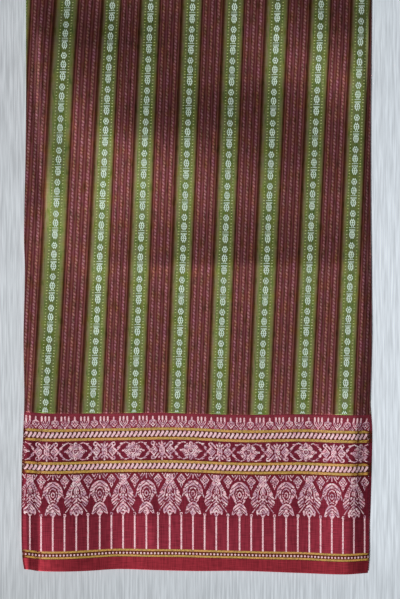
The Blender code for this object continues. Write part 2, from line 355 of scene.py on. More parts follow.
# Cells across each stretch of the section, finest where the cloth shows, and the heights of the
# first rows in from an edge.
CELLS = [4, 44, 14, 132, 6, 20, 3, 20, 4]
EDGE_STEPS = [0.0, 0.5, 1.2, 2.2, 3.6]
SEAM_DIP = 0.02
SEAM_REACH = 1.3
# The last column stays on the last stretch, so it stops a hair short of its end.
ALMOST_ALL = 1 - 1e-9
WELD_DISTANCE = 1e-6


def section_columns():
    columns = []
    for stretch, cells in enumerate(CELLS):
        columns += [(stretch, step / cells) for step in range(cells)]
    columns.append((len(CELLS) - 1, 1.0))
    return columns


def sheet_rows(low, high, spacing):
    """Heights of a tube's rows, closer together at its two edges."""
    inner_low, inner_high = low + EDGE_STEPS[-1], high - EDGE_STEPS[-1]
    count = round((inner_high - inner_low) / spacing)
    middle = np.linspace(inner_low, inner_high, count + 1)[1:-1]
    below = [low + step for step in EDGE_STEPS]
    above = [high - step for step in reversed(EDGE_STEPS)]
    return np.concatenate([below, middle, above])


def tube_sheet(name, low, high, spacing, pattern_place):
    """One closed tube of cloth between two heights, in the folded skirt's form. pattern_place
    gives each point its place in the pattern, which is kept as the piece's UV map."""
    columns = section_columns()
    rows = sheet_rows(low, high, spacing)
    stretch, part = np.array(columns).T
    heights = np.repeat(rows[:, None], len(columns), axis=1)
    begin, finish = stretch_span(stretch_ends(heights)[0], np.broadcast_to(stretch, heights.shape))
    runs = begin + (finish - begin) * np.minimum(part, ALMOST_ALL)
    points = place_on_cloth(runs, heights)
    # The cloth dips where it is sewn to the next tube.
    to_seam = np.minimum(abs(heights - BORDER_HEIGHT), abs(heights - WAIST_SEAM))
    dip = SEAM_DIP * np.exp(-((to_seam / SEAM_REACH) ** 2))
    points -= outward(runs, heights) * dip[..., None]
    pattern = pattern_place(runs, heights)

    bm = bmesh.new()
    bmesh.ops.create_grid(bm, x_segments=len(columns) - 1, y_segments=len(rows) - 1, size=0.5)
    uv = bm.loops.layers.uv.new("Pattern")
    for vert in bm.verts:
        column = round((vert.co.x + 0.5) * (len(columns) - 1))
        row = round((vert.co.y + 0.5) * (len(rows) - 1))
        vert.co = points[row, column] * MM
        for loop in vert.link_loops:
            loop[uv].uv = pattern[row, column]
    rim = [vert for vert in bm.verts if any(len(e.link_faces) == 1 for e in vert.link_edges)]
    bmesh.ops.remove_doubles(bm, verts=rim, dist=WELD_DISTANCE)
    sheet = finished(name, bm)
    thickness = sheet.modifiers.new("Cloth thickness", "SOLIDIFY")
    thickness.thickness = CLOTH_THICKNESS * MM
    thickness.offset = -1
    return sheet


def in_scene(name, data):
    thing = bpy.data.objects.new(name, data)
    bpy.context.scene.collection.objects.link(thing)
    return thing


def as_mesh(name, bm):
    mesh = bpy.data.meshes.new(name)
    bm.to_mesh(mesh)
    bm.free()
    return mesh


def finished(name, bm):
    for face in bm.faces:
        face.smooth = True
    return in_scene(name, as_mesh(name, bm))


# Where the green stripes' edges lie, on two lines across the skirt, from the left to the right.
STRIPE_ROWS = table(
    "stripe lower_left lower_right upper_left upper_right",
    (0, -259.0, -236.0, -235.3, -212.4),
    (1, -206.2, -178.4, -177.7, -151.3),
    (2, -145.2, -119.9, -117.5, -97.2),
    (3, -91.5, -67.1, -69.6, -47.2),
    (4, -36.1, -13.5, -16.6, 6.6),
    (5, 16.4, 39.6, 36.7, 60.2),
    (6, 69.2, 93.6, 90.3, 116.3),
    (7, 124.1, 147.0, 146.9, 170.4),
    (8, 177.3, 200.1, 199.2, 221.3),
)
STRIPE_LOWER_UP = 222.4
STRIPE_UPPER_UP = 732.0
STRIPE_PITCH = 53.5
GREEN_SHARE = 0.436


def stripe_edges(up):
    """The runs of all listed stripe edges at one distance up the skirt, and their stripe numbers."""
    share = (up - STRIPE_LOWER_UP) / (STRIPE_UPPER_UP - STRIPE_LOWER_UP)
    places, numbers = [], []
    for row in STRIPE_ROWS:
        places.append(row.lower_left + (row.upper_left - row.lower_left) * share)
        places.append(row.lower_right + (row.upper_right - row.lower_right) * share)
        numbers += [row.stripe - GREEN_SHARE / 2, row.stripe + GREEN_SHARE / 2]
    return np.array(places), np.array(numbers)


def stripe_number(runs, up):
    """A run as a number of stripes: whole numbers are the middles of the green stripes."""
    places, numbers = stripe_edges(up)
    inside = np.interp(runs, places, numbers)
    before = numbers[0] + (runs - places[0]) / STRIPE_PITCH
    after = numbers[-1] + (runs - places[-1]) / STRIPE_PITCH
    return np.where(runs < places[0], before, np.where(runs > places[-1], after, inside))


def run_of_stripe(number, up):
    places, numbers = stripe_edges(up)
    if number < numbers[0]:
        return places[0] + (number - numbers[0]) * STRIPE_PITCH
    if number > numbers[-1]:
        return places[-1] + (number - numbers[-1]) * STRIPE_PITCH
    return np.interp(number, numbers, places)


def up_without_waves(height):
    """Up the skirt for a height, with the seam taken at its middle."""
    return up_the_skirt(0.5, height, 0.0)


def stripe_pattern(runs, heights):
    """U counts stripes and V is the height in metres."""
    rows = [stripe_number(*row) for row in zip(runs, up_without_waves(heights[:, 0]))]
    return np.stack([rows, heights * MM], axis=-1)


def plain_pattern(runs, heights):
    """U is the run and V the height, both in metres."""
    return np.stack([runs, heights], axis=-1) * MM


# ---- silk floats

# Real floats lie two to a millimetre; these are drawn a little coarser, so that they show.
FLOAT_PITCH = 0.8
FLOAT_WIDTH = 0.74
FLOAT_RISE = 0.17
FLOAT_END = 0.14
FLOAT_CLEAR = 0.02
SHORTEST_FLOAT = 0.45
LONGEST_FLOAT = 5.5
TIE_GAP = 0.25
# The first tie's place along a long float, as shares of the longest one, and its step from pick
# to pick. The last float that it leaves isn't shorter than this.
TIE_FIRST = 0.35
TIE_SPREAD = 0.6
TIE_STEP = 0.382
LEAST_TAIL = 1.0
CHART_STEP = 0.15
RING_STEPS = 14

# A stroke of a motif: its width, the ways it is mirrored and the points it runs through. "|"
# mirrors it left to right, "+" also top to bottom.
Stroke = namedtuple("Stroke", "width mirrored points")
# A bare line left in what the strokes before it cover.
Cut = namedtuple("Cut", "width mirrored points")
# A patch of a motif filled with slanting threads.
Hatch = namedtuple("Hatch", "pitch thread mirrored slant outline")


def ring(x, y, across, tall=None):
    tall = across if tall is None else tall
    turns = [2 * pi * step / RING_STEPS for step in range(RING_STEPS + 1)]
    return [(x + across / 2 * np.cos(turn), y + tall / 2 * np.sin(turn)) for turn in turns]


def both_sides(half):
    """The whole outline of a patch from its right half, from the top down."""
    return half + [(-x, y) for x, y in reversed(half) if x]


def crossed(pitch, thread, half):
    """A patch of threads that slant both ways, from the right half of its outline."""
    return [Hatch(pitch, thread, "", slant, both_sides(half)) for slant in (1, -1)]


def mirrored_ways(stroke):
    ways = [(1, 1), (-1, 1), (1, -1), (-1, -1)]
    return ways[:{"": 1, "|": 2, "+": 4}[stroke.mirrored]]


def on_stroke(stroke, x, y):
    covered = np.zeros(x.shape, bool)
    for flip_x, flip_y in mirrored_ways(stroke):
        points = np.array(stroke.points, float) * (flip_x, flip_y)
        for (ax, ay), (bx, by) in zip(points[:-1], points[1:]):
            length2 = max((bx - ax) ** 2 + (by - ay) ** 2, 1e-9)
            t = np.clip(((x - ax) * (bx - ax) + (y - ay) * (by - ay)) / length2, 0, 1)
            away = np.hypot(x - ax - t * (bx - ax), y - ay - t * (by - ay))
            covered |= away <= stroke.width / 2
    return covered


def within(outline, x, y):
    inside = np.zeros(x.shape, bool)
    for (ax, ay), (bx, by) in zip(outline, outline[1:] + outline[:1]):
        if ay != by:
            inside ^= ((ay > y) != (by > y)) & (x < (bx - ax) * (y - ay) / (by - ay) + ax)
    return inside


def on_hatch(patch, x, y):
    covered = np.zeros(x.shape, bool)
    for flip_x, flip_y in mirrored_ways(patch):
        near_x, near_y = x * flip_x, y * flip_y
        from_thread = abs((near_x * patch.slant + near_y) / patch.pitch % 1 - 0.5) * patch.pitch
        covered |= within(patch.outline, near_x, near_y) & (from_thread <= patch.thread / 2)
    return covered


def covered_by(motif, x, y):
    covered = np.zeros(x.shape, bool)
    for shape in motif:
        if isinstance(shape, Stroke):
            covered |= on_stroke(shape, x, y)
        elif isinstance(shape, Cut):
            covered &= ~on_stroke(shape, x, y)
        else:
            covered |= on_hatch(shape, x, y)
    return covered


def reach(motif):
    """How far a motif spreads to each side, down and up."""
    wide, low, high = 0.0, 1e9, -1e9
    for shape in motif:
        if isinstance(shape, Cut):
            continue
        points = shape.points if isinstance(shape, Stroke) else shape.outline
        half = shape.width / 2 if isinstance(shape, Stroke) else 0.0
        wide = max([wide] + [abs(x) + half for x, y in points])
        ups = [y for x, y in points]
        if shape.mirrored == "+":
            ups += [-y for y in ups]
        low, high = min(low, min(ups) - half), max(high, max(ups) + half)
    return wide, low, high


def tied_down(start, end, row):
    """Cuts a float that would be too long to be safe where warp threads hold it down."""
    if end - start <= LONGEST_FLOAT:
        return [(start, end)]
    first = start + LONGEST_FLOAT * (TIE_FIRST + TIE_SPREAD * (row * TIE_STEP % 1))
    cuts = np.arange(first, end - LEAST_TAIL, LONGEST_FLOAT)
    starts = [start, *(cut + TIE_GAP for cut in cuts)]
    return list(zip(starts, [*cuts, end]))


def unit_float():
    """The flat blank that every float is shaped from: a strip of two faces with a ridge between."""
    bm = bmesh.new()
    bmesh.ops.create_grid(bm, x_segments=1, y_segments=2, size=0.5)
    return as_mesh("float", bm)


def shape_float(vert, start, end, y):
    """Moves a corner of a blank to its place on a low hipped roof with its ends tucked down."""
    on_ridge = abs(vert.co.y) < 0.25
    inset = min(FLOAT_END, (end - start) / 4) if on_ridge else 0.0
    x = start + inset if vert.co.x < 0 else end - inset
    vert.co = (x, y + vert.co.y * FLOAT_WIDTH, FLOAT_CLEAR + FLOAT_RISE * on_ridge)


def floats_of(motif, base):
    """The start, end and height of each float that draws a motif, pick by pick. base is the height
    that it is woven at, so that its floats fall on whole picks there."""
    wide, low, high = reach(motif)
    xs = np.arange(-wide, wide + CHART_STEP, CHART_STEP)
    first = int(np.ceil((base + low) / FLOAT_PITCH))
    last = int(np.floor((base + high) / FLOAT_PITCH))
    floats = []
    for row in range(first, last + 1):
        y = row * FLOAT_PITCH
        covered = covered_by(motif, xs, np.full(xs.shape, y - base))
        steps = np.flatnonzero(np.diff(np.concatenate([[False], covered, [False]]).astype(int)))
        for begin, finish in zip(steps[::2], steps[1::2]):
            start, end = xs[begin] - CHART_STEP / 2, xs[finish - 1] + CHART_STEP / 2
            if end - start >= SHORTEST_FLOAT:
                floats += [(*tied, y) for tied in tied_down(start, end, row)]
    return floats


def woven(motif, base=0.0):
    """A motif as a flat mesh of weft floats."""
    floats = floats_of(motif, base)
    blank = unit_float()
    corners = len(blank.vertices)
    bm = bmesh.new()
    for _ in floats:
        bm.from_mesh(blank)
    for number, vert in enumerate(bm.verts):
        shape_float(vert, *floats[number // corners])
    return as_mesh("motif", bm)


def repeat(bm, mesh, places):
    """Adds copies of a woven motif, each moved by its place's run and height."""
    for run, height in places:
        there = Matrix.Translation((run, height, 0.0))
        mesh.transform(there)
        bm.from_mesh(mesh)
        mesh.transform(there.inverted())


def laid_on_cloth(name, bm):
    """Moves floats drawn flat, in run, height and lift, on to the folded cloth."""
    piece = finished(name, bm)
    flat = np.empty(len(piece.data.vertices) * 3)
    piece.data.vertices.foreach_get("co", flat)
    run, height, lift = flat.reshape(-1, 3).T
    points = place_on_cloth(run, height) + outward(run, height) * lift[:, None]
    piece.data.vertices.foreach_set("co", (points * MM).ravel())
    piece.data.update()
    return piece


# The runs between which the cloth's right side can be seen, from the lower right fold round to
# a little way under the upper one.
SEEN_RUNS = (-655.0, 224.0)


def across_skirt(first, spacing):
    """Every place of a repeat that starts at a run, all round what can be seen."""
    low = int(np.ceil((SEEN_RUNS[0] - first) / spacing))
    high = int(np.floor((SEEN_RUNS[1] - first) / spacing))
    return [first + spacing * step for step in range(low, high + 1)]


# ---- the brocade's motifs

# Heights of the border's bands.
HEM_DOT_LINE = 22.5
STEM_FOOT = 28.4
STEM_TOP = 71.5
TREE_BASE = 70.0
LOWER_ROPE = 133.3
SCROLL_MIDDLE = 153.4
UPPER_ROPE = 174.6
CUP_BASE = 182.4
# The gold lines' heights and widths.
GOLD_LINES = [
    (19.0, 2.4), (26.2, 2.4), (127.3, 3.2), (138.7, 2.9), (168.7, 3.4), (180.2, 2.9),
]

# Repeats along the border, each with the run of one of them.
TREE_REPEAT = 59.4
FIRST_TREE = -212.7
SCROLL_REPEAT = 73.4
FIRST_SCROLL = -191.1
CUP_REPEAT = 24.85
FIRST_CUP = 6.1
ROPE_REPEAT = 5.6
FIRST_STRAND = 1.0
DOT_REPEAT = 4.45

STEM = [Stroke(2.1, "", [(0, STEM_FOOT), (0, STEM_TOP)])]
HEM_DOT = [Stroke(2.4, "", [(-0.1, 0), (0.1, 0)])]
PRONGS = [
    Stroke(2.3, "", [(0, 9.4), (0, 12.8)]),
    Stroke(2.3, "|", [(4.6, 9.6), (4.6, 12.8)]),
]
CUP = [
    Stroke(1.2, "", [(0, 9.4), (0, 6.2)]),
    Stroke(1.3, "|", [(5.4, 8.8), (4.6, 6.2), (2.2, 3.2), (0, 1.4)]),
    Stroke(1, "|", [(2.9, 8.2), (2.1, 6), (0, 4)]),
    Stroke(1.7, "", [(-0.4, 0.8), (0.4, 0.8)]),
]
PRONG = [Stroke(2.1, "", [(0, 9.6), (0, 12.6)])]
LATTICE = [
    *crossed(3.6, 1.3, [(0, 9.6), (4.2, 7.6), (4.6, 5.2), (2, 1.4)]),
    Stroke(1, "|", [(0, 9.8), (3.9, 7.8), (4.3, 5.2)]),
]
MOUND = [
    *crossed(3.2, 0.9, [(0, 4.4), (1.6, 2.8), (3.2, 0)]),
    Stroke(0.6, "|", [(0, 4.2), (1.6, 2.8), (2.8, 0.5)]),
]

ROPE_STRAND = [
    Stroke(3.6, "", [(-1.4, -1.9), (1.4, 1.9)]),
    Cut(0.45, "", [(-2.5, -1.6), (-0.3, 2.4)]),
]

STAR = [
    Stroke(2.4, "+", [(0, 9.6), (0, 11)]),
    Stroke(2.2, "+", [(1.4, 6.6), (3.8, 8.8)]),
    Stroke(1.8, "+", [(0, 1.8), (0, 8)]),
    Stroke(1.3, "+", [(0.4, 6.4), (2.6, 4.2), (3, 0)]),
    Cut(0.9, "+", [(1.6, 9.6), (1.3, 7.6)]),
    Cut(0.8, "+", [(0, 4.8), (0, 4.9)]),
    *crossed(2.8, 1.6, [(0, 6.4), (2.4, 4.6), (3, 0), (2.4, -4.6), (0, -6.4)]),
    Stroke(1.9, "+", [(4.4, 4.4), (7, 7.4), (9.6, 10.2)]),
    Stroke(1.6, "+", ring(11.6, 9, 4)),
    *[Hatch(3.2, 1.6, "|", slant, [(5.4, 0), (10.2, -6.6), (15.6, 0), (10.2, 6.6)])
      for slant in (1, -1)],
    Stroke(1.2, "+", [(5.8, 0.4), (10.2, 6.2), (15.4, 0.4)]),
    Stroke(1.4, "+", [(15.4, 0.6), (18, 2.6)]),
]
ROSETTE = [
    *crossed(2.9, 1.8, [
        (0, 11.6), (5.2, 9), (8.6, 5.4), (12.6, 0), (8.6, -5.4), (5.2, -9), (0, -11.6)]),
    Stroke(3.6, "+", [(0, 8.2), (0, 9.8)]),
    Stroke(3, "+", [(6.2, 5.2), (6.8, 5.8)]),
    Stroke(2.4, "+", [(10.2, 0), (13.4, 0)]),
    Cut(1, "+", [(2.4, 11.8), (3.2, 7.4)]),
    Cut(1, "+", [(8, 2.6), (12.4, 3.8)]),
    Cut(0.9, "+", [(0, 8.6), (0, 9.4)]),
    Cut(9.2, "", [(0, 0), (0, 0.1)]),
    Stroke(1.7, "", ring(0, 0, 6.6)),
    Stroke(2.4, "", [(0, 0), (0, 0.1)]),
    Stroke(1.3, "+", [(5.8, 9.6), (9.4, 10.9), (12.8, 9.8), (16, 7), (19.4, 4.8)]),
    Stroke(2.6, "+", [(17.6, 4.6), (19.4, 3.6)]),
    Stroke(1.4, "+", [(14.4, 9.6), (16.4, 9.4)]),
]


def spokes(x, y, inner, outer, turns, width):
    """Bare lines that run outwards from a point and break what they cross into blobs."""
    lines = []
    for turn in turns:
        across, along = cos(radians(turn)), sin(radians(turn))
        ends = [(x + far * across, y + far * along) for far in (inner, outer)]
        lines.append(Cut(width, "|", ends))
    return lines


TREE = [
    *crossed(3.4, 2, [(3.8, 54), (4.2, 49), (3.6, 39)]),
    Stroke(1.6, "|", [(3.4, 52), (3.6, 47), (2.8, 40.6)]),
    Stroke(1.3, "|", [(8.4, 52.4), (6.6, 49.6), (4.4, 47)]),
    Stroke(3.4, "|", [(3.4, 44), (7.6, 36.6), (11, 30.4)]),
    *spokes(-2, 30, 4, 18, [56, 42, 30, 18], 0.8),
    Hatch(4.3, 2.8, "|", 0.85, [
        (8.2, 33.2), (12.2, 30.6), (14.9, 24.4), (15.2, 18.4),
        (12.4, 13.2), (9.4, 15), (6, 20.4), (6.8, 26)]),
    Stroke(1.5, "|", [(3, 39.4), (6.2, 33.6), (6.6, 27.4)]),
    Stroke(1.2, "|", [(0, 39), (2.1, 35.6), (2.8, 31.8), (1.6, 29.2)]),
    Stroke(2.4, "", [(0, 36), (0, 31)]),
    Stroke(2.6, "|", [(3.5, 27.6), (3.9, 26)]),
    Stroke(2.2, "", [(0, 27.2), (0, 22.6)]),
    Stroke(1.5, "|", [(1.8, 24.4), (3.6, 22.4), (5.2, 20.6)]),
    Stroke(1.5, "|", [(0, 21.2), (3.4, 18.2)]),
    Stroke(2.5, "|", [(0, 17.2), (3.9, 12.9), (7.3, 8.6), (6.6, 4.6)]),
    Stroke(2.2, "|", [(0, 12.6), (3.4, 8.6), (4.6, 5.6)]),
    Stroke(2, "|", [(0, 8.2), (2.6, 5), (0, 1)]),
    *spokes(0, 2, 12, 17, [66, 40], 0.9),
    Stroke(1.2, "|", [(5.6, 17.4), (9.4, 12.2), (13.4, 6.8)]),
    Stroke(3.6, "|", [(14.7, 3.4), (14.7, 2.6)]),
    Cut(1.2, "|", [(14.7, 3.2), (14.7, 2.8)]),
]
URN = [
    Hatch(4, 2.7, "|", 0.8, [
        (0, 45.6), (4.8, 44.2), (9, 40.6), (12, 35.2), (12.4, 30.4), (10.8, 26.6), (8.6, 26.2),
        (8.6, 31.4), (7, 36.4), (3.6, 39.6), (0, 40.4)]),
    Stroke(1.3, "|", [(2, 45), (6, 43), (9.6, 39.2), (12, 33.4)]),
    Stroke(1.6, "|", [(0, 40.4), (3.6, 39), (6.6, 35.8), (7.9, 31.4), (7.2, 26.6), (5, 21.8)]),
    Stroke(1.5, "|", [(0, 37), (3.2, 35.2), (4.9, 31), (4.4, 26.6), (2.2, 23)]),
    *spokes(0, 29, 4.2, 9.4, [8, 52], 0.9),
    Stroke(1.4, "", ring(0, 29, 4, 5.6)),
    Stroke(1.3, "|", [(12, 30.2), (13, 27.4), (13.4, 25)]),
    Stroke(1.6, "|", [(9.4, 27.2), (7.6, 24.6), (5.8, 20.4), (4.2, 18.6)]),
    Stroke(1.4, "|", [(0, 21.6), (2.4, 20.4)]),
    Hatch(4, 2.7, "|", 0.8, [
        (0, 18.4), (4.4, 16.6), (7.6, 12.4), (8.8, 7.6), (9.8, 3.2), (7.4, 3.6), (3.4, 7.8), (0, 12)]),
    Stroke(1.4, "|", [(0, 17.8), (4.2, 16.2), (7.4, 12), (8.6, 7.4), (9.6, 3.8)]),
    Stroke(3.6, "", [(0, 9.2), (0, 2.8)]),
    Cut(1.2, "", [(0, 5.2), (0, 5.4)]),
    Stroke(1.7, "|", [(1.6, 7.4), (3.2, 5), (0, 0.8)]),
    Stroke(1.4, "", [(0, 48.6), (0, 54)]),
    Stroke(1.2, "|", [(2.4, 53.8), (4.4, 50.2), (6.6, 47.6)]),
]
PENDANT = [
    *crossed(3.6, 1.5, [(0, 53.4), (5.4, 46.6), (3, 42.2)]),
    Stroke(1.1, "|", [(0, 53.2), (5.2, 46.8), (2.8, 42.6)]),
    Stroke(1.2, "", ring(0, 40.2, 3, 3.6)),
    Stroke(0.9, "", [(0, 38.2), (0, 36.6)]),
    Stroke(1.2, "|", [(5.4, 54), (7.5, 50.8), (9.6, 54)]),
]

# The chain of flowers down the middle of a green stripe, from the top of its repeat.
FLOWER = [
    Stroke(1.4, "+", [(2.5, 0), (2.6, 2), (1.6, 3.2)]),
    Stroke(1.5, "+", [(1.2, 3.4), (1, 4.7)]),
    Stroke(1.3, "", [(0, -3.4), (0, 3.4)]),
    Stroke(1.5, "|", [(0, 0), (3, 0)]),
    Cut(1, "+", [(0, 3.9), (0, 5.6)]),
]
ROUND_FLOWER = [
    Stroke(6.4, "", [(-0.4, 0), (0.4, 0)]),
    Stroke(1.5, "+", [(1.2, 2.8), (1, 4)]),
    Cut(0.9, "", ring(0, 0, 3.8, 3.4)),
    Cut(1, "+", [(0, 3.4), (0, 5)]),
]
LONG_BAR = [Stroke(1.5, "", [(-3.0, 0), (3.0, 0)])]
SIDE_DOT = [Stroke(1.4, "", [(-0.4, 0), (0.4, 0)])]
SMALL_DOT = [Stroke(1.3, "", [(-0.2, 0), (0.2, 0)])]
FLOWER_REPEAT = 40.2
ROUND_FLOWER_HEIGHT = -0.7
FLOWER_HEIGHTS = [-12.2, -27.6]
BAR_HEIGHTS = [-18.6, -21.2, -22.6]
SIDE_RUN = 6.7
SIDE_DROPS = [-18.6, -22.4]
SMALL_DROPS = [1.5, -2.5, -7.2, -11.4, -15.0, -27.0, -31.2, -35.2]
# How far each stripe's chain has slipped up the cloth, at the stripe's lower and upper end.
SLIP_ROWS = table(
    "stripe lower upper",
    (-1, 4.4, 5.6),
    (0, 4.4, 5.6),
    (1, 4.1, 5.2),
    (2, 1.9, 2.0),
    (3, 0.6, 0.4),
    (4, 0.0, 0.0),
    (5, 0.1, 0.5),
    (6, 0.1, 0.9),
    (7, 0.8, 3.1),
    (8, 3.1, 10.0),
)
SLIP_LOWER_UP = 290
SLIP_SPAN = 360
SLIP_LIMITS = (-0.3, 1.6)
FLOWER_START = 492.2
FLOWER_STEPS = range(-8, 12)
SEAM_CLEAR = 0.8
TALLEST_MARK = 6.0


def woven_bands(name, bands):
    """Weaves each band's motif at its height, in every repeat."""
    bm = bmesh.new()
    for motif, base, runs in bands:
        repeat(bm, woven(motif, base), [(run, 0.0) for run in runs])
    return laid_on_cloth(name, bm)


def silver_lines():
    """The border's brightest floats: stems, ropes, dots and the prongs of the cups."""
    return woven_bands("silver_lines", [
        (STEM, 0.0, across_skirt(FIRST_TREE, TREE_REPEAT / 4)),
        (HEM_DOT, HEM_DOT_LINE, across_skirt(0.0, DOT_REPEAT)),
        (ROPE_STRAND, LOWER_ROPE, across_skirt(FIRST_STRAND, ROPE_REPEAT)),
        (ROPE_STRAND, UPPER_ROPE, across_skirt(0.0, ROPE_REPEAT)),
        (PRONGS, CUP_BASE, across_skirt(FIRST_CUP, CUP_REPEAT)),
        (PRONG, CUP_BASE, across_skirt(FIRST_CUP + CUP_REPEAT / 2, CUP_REPEAT)),
    ])


def rose_motifs():
    """The border's patterned floats: trees and urns with pendants between, scrolls and cups."""
    return woven_bands("rose_silver_floats", [
        (TREE, TREE_BASE, across_skirt(FIRST_TREE, TREE_REPEAT)),
        (URN, TREE_BASE, across_skirt(FIRST_TREE + TREE_REPEAT / 2, TREE_REPEAT)),
        (PENDANT, TREE_BASE, across_skirt(FIRST_TREE + TREE_REPEAT / 4, TREE_REPEAT / 2)),
        (STAR, SCROLL_MIDDLE, across_skirt(FIRST_SCROLL, SCROLL_REPEAT)),
        (ROSETTE, SCROLL_MIDDLE, across_skirt(FIRST_SCROLL + SCROLL_REPEAT / 2, SCROLL_REPEAT)),
        (CUP, CUP_BASE, across_skirt(FIRST_CUP, CUP_REPEAT)),
        (LATTICE, CUP_BASE, across_skirt(FIRST_CUP + CUP_REPEAT / 2, CUP_REPEAT)),
        (MOUND, CUP_BASE, across_skirt(FIRST_CUP + CUP_REPEAT / 4, CUP_REPEAT / 2)),
    ])


def gold_border():
    """The border's gold lines, each a few picks thick."""
    middle = sum(SEEN_RUNS) / 2
    half = (SEEN_RUNS[1] - SEEN_RUNS[0]) / 2
    return woven_bands("gold_floats", [
        ([Stroke(width, "", [(-half, 0), (half, 0)])], height, [middle])
        for height, width in GOLD_LINES
    ])


def slip_of(stripe, top):
    """How far up its stripe a chain has slipped at one height."""
    stripes, lowers, uppers = zip(*SLIP_ROWS)
    lower = np.interp(stripe, stripes, lowers)
    upper = np.interp(stripe, stripes, uppers)
    return lower + (upper - lower) * np.clip((top - SLIP_LOWER_UP) / SLIP_SPAN, *SLIP_LIMITS)


def down_the_stripes(name, marks, stripes):
    """Weaves marks, each a motif, how far it is from the middle and its drop, in every repeat of
    the stripes' chains."""
    bm = bmesh.new()
    low, high = BORDER_HEIGHT + SEAM_CLEAR, WAIST_SEAM - SEAM_CLEAR
    marks = [(woven(motif), aside, drop) for motif, aside, drop in marks]
    for stripe in stripes:
        for step in FLOWER_STEPS:
            top = FLOWER_START + step * FLOWER_REPEAT
            top += slip_of(stripe, top)
            for mesh, aside, drop in marks:
                height = top + drop
                if low - TALLEST_MARK < height < high + TALLEST_MARK:
                    middle = run_of_stripe(stripe, up_without_waves(height))
                    repeat(bm, mesh, [(middle + aside, height)])
    # The seams cut through the flowers that they meet.
    cut_off = [vert for vert in bm.verts if not low < vert.co.y < high]
    bmesh.ops.delete(bm, geom=cut_off, context="VERTS")
    return laid_on_cloth(name, bm)


def flower_chains(name, stripes):
    """The pale flowers and bars woven down the middles of the green stripes."""
    marks = [(ROUND_FLOWER, 0.0, ROUND_FLOWER_HEIGHT)]
    marks += [(FLOWER, 0.0, drop) for drop in FLOWER_HEIGHTS]
    marks += [(LONG_BAR, 0.0, drop) for drop in BAR_HEIGHTS]
    return down_the_stripes(name, marks, stripes)


def side_dots(name, stripes):
    """The yellow dots on either side of the flowers."""
    marks = []
    for side in (-SIDE_RUN, SIDE_RUN):
        marks += [(SIDE_DOT, side, drop) for drop in SIDE_DROPS]
        marks += [(SMALL_DOT, side, drop) for drop in SMALL_DROPS]
    return down_the_stripes(name, marks, stripes)


# ---- materials


def linear(hex_colour):
    """An sRGB hex colour as the linear colour that the shaders take."""
    parts = [int(hex_colour[place:place + 2], 16) / 255 for place in (1, 3, 5)]
    bent = [c / 12.92 if c <= 0.04045 else ((c + 0.055) / 1.055) ** 2.4 for c in parts]
    return (*bent, 1.0)


def connect(value, socket):
    """Gives a socket a number, a hex colour, an output, or the first output in use of a node."""
    if isinstance(value, bpy.types.Node):
        value = next(output for output in value.outputs if output.enabled)
    if isinstance(value, bpy.types.NodeSocket):
        socket.id_data.links.new(value, socket)
    else:
        socket.default_value = linear(value) if isinstance(value, str) else value


def set_stops(ramp, stops):
    """Gives a colour ramp its stops, each a position and an sRGB hex colour or a grey value."""
    while len(ramp.elements) < len(stops):
        ramp.elements.new(1.0)
    for element, (position, colour) in zip(ramp.elements, stops):
        element.position = position
        element.color = linear(colour) if isinstance(colour, str) else (colour, colour, colour, 1)


def add_node(tree, kind, inputs=(), stops=None, **settings):
    """Adds a shader node with its settings. inputs are by socket, or in order; stops are for a
    colour ramp."""
    node = tree.nodes.new("ShaderNode" + kind)
    for setting, value in settings.items():
        setattr(node, setting, value)
    by_socket = inputs if isinstance(inputs, dict) else dict(enumerate(inputs))
    for socket, value in by_socket.items():
        connect(value, node.inputs[socket])
    if stops:
        set_stops(node.color_ramp, stops)
    return node


def new_material(name, roughness, sheen, specular=0.5, lustre=0.0):
    material = bpy.data.materials.new(name)
    material.use_nodes = True
    shader = material.node_tree.nodes["Principled BSDF"]
    shader.inputs["Roughness"].default_value = roughness
    shader.inputs["Metallic"].default_value = lustre
    shader.inputs["Sheen Weight"].default_value = sheen
    shader.inputs["Sheen Roughness"].default_value = SHEEN_ROUGHNESS
    shader.inputs["Specular IOR Level"].default_value = specular
    return material, shader, partial(add_node, material.node_tree)


def drawn_out_noise(add, place, scale, detail):
    """Noise with its own number of spots to the metre along each axis, as threads have."""
    stretched = add("Mapping", {"Vector": place, "Scale": scale})
    return add("TexNoise", {"Vector": stretched, "Scale": 1.0, "Detail": detail})


def finish_cloth(add, shader, colour, height, strength, depth):
    """Gives a cloth its colour and its woven relief, whose depth is in millimetres."""
    connect(colour, shader.inputs["Base Color"])
    relief = {"Strength": strength, "Distance": depth * MM, "Height": height}
    connect(add("Bump", relief), shader.inputs["Normal"])


SHEEN_ROUGHNESS = 0.4
# How many of a noise's spots go to the metre along x, y and z: 900 are one every 1.1 mm, as wide as
# a few threads, since single ones are too fine to show.
BORDER_PICKS = (60.0, 900.0, 1.0)
BORDER_ENDS = (700.0, 40.0, 1.0)
FLOAT_THREADS = (120.0, 900.0, 120.0)
COTTON_THREADS = (500.0, 900.0, 1.0)
FLOOR_GRAIN = (450.0, 18.0, 1.0)
# Roughness, sheen, specular level and lustre of a plain silk cloth.
CLOTH_GLOSS = (0.345, 0.05, 0.1, 0.8)

